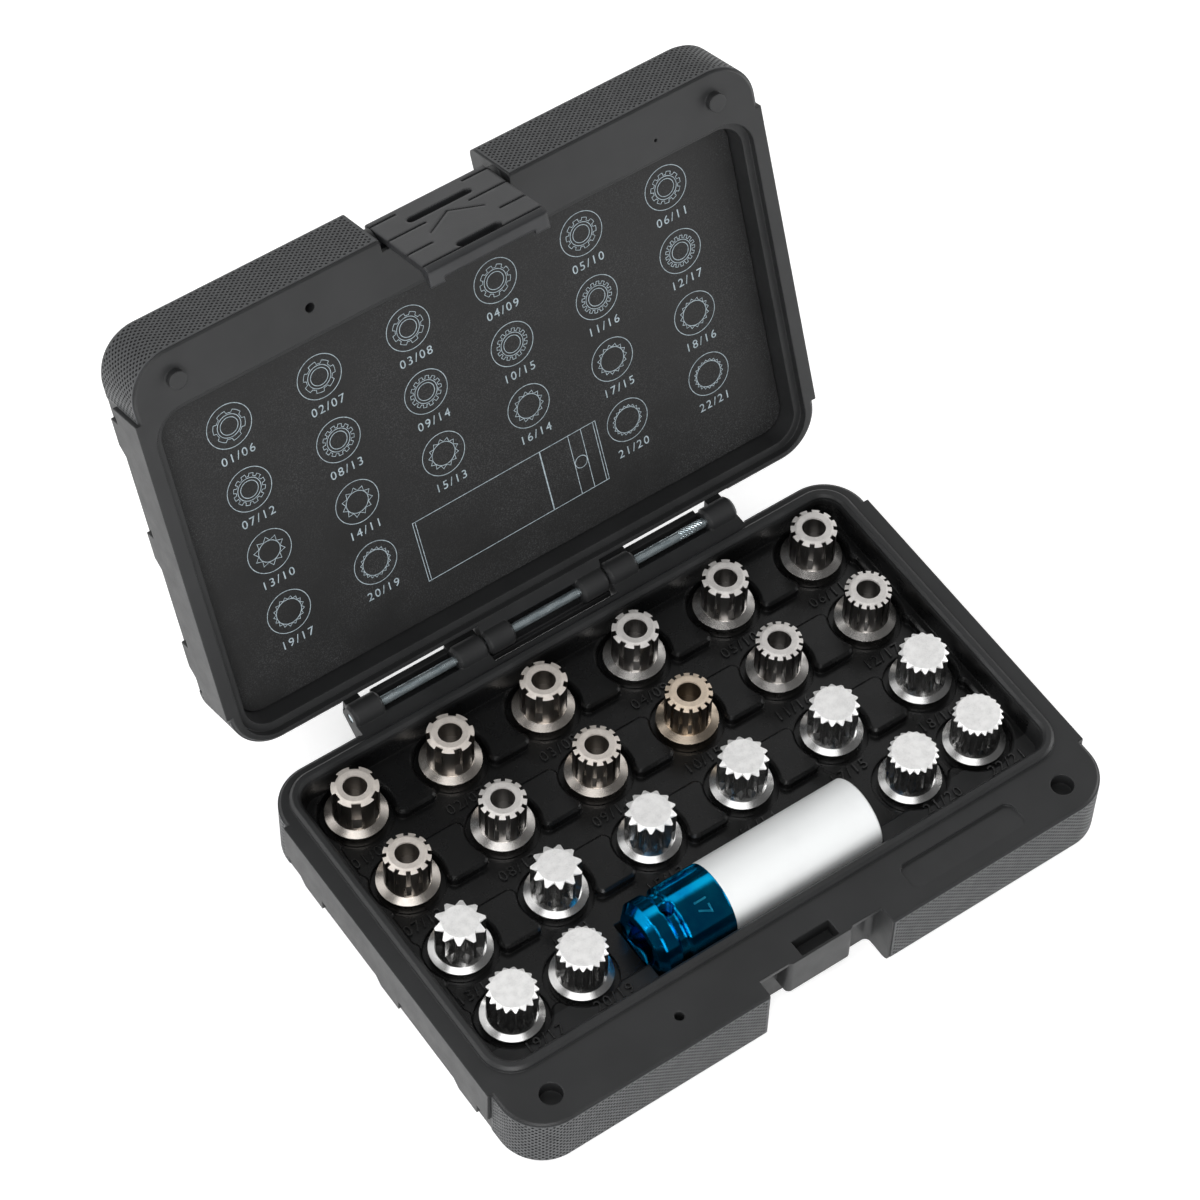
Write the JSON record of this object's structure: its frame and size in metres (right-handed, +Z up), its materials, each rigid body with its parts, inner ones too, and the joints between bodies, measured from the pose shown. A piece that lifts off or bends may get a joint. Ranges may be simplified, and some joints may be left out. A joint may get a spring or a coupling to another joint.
{
  "type": "locking wheel bolt key set in case",
  "caption": "Hinged carry case with a latch, a tray of lift-out splined wheel bolt keys on hexagon shanks, and a sleeved driver socket that turns them.",
  "frame": {"origin": "middle of the case's underside", "axes": "+X along the hinge, +Y from the latch to the hinge, +Z up; the lid stands open at rest"},
  "size_m": [0.23, 0.2352, 0.1805],
  "materials": {
    "case_plastic": "satin moulded, with a fine diamond grain on the outside",
    "latch_plastic": "satin moulded",
    "printed_card": "speckled dark card with pale line drawings and plain tooth numbers",
    "plated_pin": "bright zinc",
    "ring_steel": "satin nickel, darker in the grooves, warm tint on some",
    "spline_steel": "satin nickel with a bead-blasted end",
    "blue_metal": "metallic blue",
    "white_plastic": "satin white"
  },
  "bodies": {
    "base": {"base_case": "case_plastic", "hinge_pin": "plated_pin"},
    "lid": {"lid_case": "case_plastic", "lid_card": "printed_card", "latch_pin": "plated_pin"},
    "latch": {"latch": "latch_plastic"},
    "socket": {"socket_body": "blue_metal", "socket_sleeve": "white_plastic"},
    "ring_key_06_body": {"ring_key_06": "ring_steel"},
    "ring_key_07_body": {"ring_key_07": "ring_steel"},
    "ring_key_08_body": {"ring_key_08": "ring_steel"},
    "ring_key_09_body": {"ring_key_09": "ring_steel"},
    "ring_key_10_body": {"ring_key_10": "ring_steel"},
    "ring_key_11_body": {"ring_key_11": "ring_steel"},
    "ring_key_12_body": {"ring_key_12": "ring_steel"},
    "ring_key_13_body": {"ring_key_13": "ring_steel"},
    "ring_key_14_body": {"ring_key_14": "ring_steel"},
    "ring_key_15_body": {"ring_key_15": "ring_steel"},
    "ring_key_16_body": {"ring_key_16": "ring_steel"},
    "ring_key_17_body": {"ring_key_17": "ring_steel"},
    "spline_key_10_body": {"spline_key_10": "spline_steel"},
    "spline_key_11_body": {"spline_key_11": "spline_steel"},
    "spline_key_13_body": {"spline_key_13": "spline_steel"},
    "spline_key_14_body": {"spline_key_14": "spline_steel"},
    "spline_key_15_body": {"spline_key_15": "spline_steel"},
    "spline_key_16_body": {"spline_key_16": "spline_steel"},
    "spline_key_17_body": {"spline_key_17": "spline_steel"},
    "spline_key_19_body": {"spline_key_19": "spline_steel"},
    "spline_key_20_body": {"spline_key_20": "spline_steel"},
    "spline_key_21_body": {"spline_key_21": "spline_steel"}
  },
  "joints": [
    {"name": "lid_hinge", "type": "hinge", "parent": "base", "child": "lid", "pos_m": [0, 0.08255, 0.025], "axis": [-1, 0, 0], "range_deg": [-110.4, 69.6]},
    {"name": "latch_hinge", "type": "hinge", "parent": "lid", "child": "latch", "pos_m": [0, 0.1447, 0.16544], "axis": [-1, 0, 0], "range_deg": [-4, 100]},
    {"name": "socket_lift", "type": "slide", "parent": "base", "child": "socket", "axis": [0, 0, 1], "range_m": [0, 0.036]},
    {"name": "ring_key_06_lift", "type": "slide", "parent": "base", "child": "ring_key_06_body", "axis": [0, 0, 1], "range_m": [0, 0.036]},
    {"name": "ring_key_07_lift", "type": "slide", "parent": "base", "child": "ring_key_07_body", "axis": [0, 0, 1], "range_m": [0, 0.036]},
    {"name": "ring_key_08_lift", "type": "slide", "parent": "base", "child": "ring_key_08_body", "axis": [0, 0, 1], "range_m": [0, 0.036]},
    {"name": "ring_key_09_lift", "type": "slide", "parent": "base", "child": "ring_key_09_body", "axis": [0, 0, 1], "range_m": [0, 0.036]},
    {"name": "ring_key_10_lift", "type": "slide", "parent": "base", "child": "ring_key_10_body", "axis": [0, 0, 1], "range_m": [0, 0.036]},
    {"name": "ring_key_11_lift", "type": "slide", "parent": "base", "child": "ring_key_11_body", "axis": [0, 0, 1], "range_m": [0, 0.036]},
    {"name": "ring_key_12_lift", "type": "slide", "parent": "base", "child": "ring_key_12_body", "axis": [0, 0, 1], "range_m": [0, 0.036]},
    {"name": "ring_key_13_lift", "type": "slide", "parent": "base", "child": "ring_key_13_body", "axis": [0, 0, 1], "range_m": [0, 0.036]},
    {"name": "ring_key_14_lift", "type": "slide", "parent": "base", "child": "ring_key_14_body", "axis": [0, 0, 1], "range_m": [0, 0.036]},
    {"name": "ring_key_15_lift", "type": "slide", "parent": "base", "child": "ring_key_15_body", "axis": [0, 0, 1], "range_m": [0, 0.036]},
    {"name": "ring_key_16_lift", "type": "slide", "parent": "base", "child": "ring_key_16_body", "axis": [0, 0, 1], "range_m": [0, 0.036]},
    {"name": "ring_key_17_lift", "type": "slide", "parent": "base", "child": "ring_key_17_body", "axis": [0, 0, 1], "range_m": [0, 0.036]},
    {"name": "spline_key_10_lift", "type": "slide", "parent": "base", "child": "spline_key_10_body", "axis": [0, 0, 1], "range_m": [0, 0.036]},
    {"name": "spline_key_11_lift", "type": "slide", "parent": "base", "child": "spline_key_11_body", "axis": [0, 0, 1], "range_m": [0, 0.036]},
    {"name": "spline_key_13_lift", "type": "slide", "parent": "base", "child": "spline_key_13_body", "axis": [0, 0, 1], "range_m": [0, 0.036]},
    {"name": "spline_key_14_lift", "type": "slide", "parent": "base", "child": "spline_key_14_body", "axis": [0, 0, 1], "range_m": [0, 0.036]},
    {"name": "spline_key_15_lift", "type": "slide", "parent": "base", "child": "spline_key_15_body", "axis": [0, 0, 1], "range_m": [0, 0.036]},
    {"name": "spline_key_16_lift", "type": "slide", "parent": "base", "child": "spline_key_16_body", "axis": [0, 0, 1], "range_m": [0, 0.036]},
    {"name": "spline_key_17_lift", "type": "slide", "parent": "base", "child": "spline_key_17_body", "axis": [0, 0, 1], "range_m": [0, 0.036]},
    {"name": "spline_key_19_lift", "type": "slide", "parent": "base", "child": "spline_key_19_body", "axis": [0, 0, 1], "range_m": [0, 0.036]},
    {"name": "spline_key_20_lift", "type": "slide", "parent": "base", "child": "spline_key_20_body", "axis": [0, 0, 1], "range_m": [0, 0.036]},
    {"name": "spline_key_21_lift", "type": "slide", "parent": "base", "child": "spline_key_21_body", "axis": [0, 0, 1], "range_m": [0, 0.036]}
  ]
}
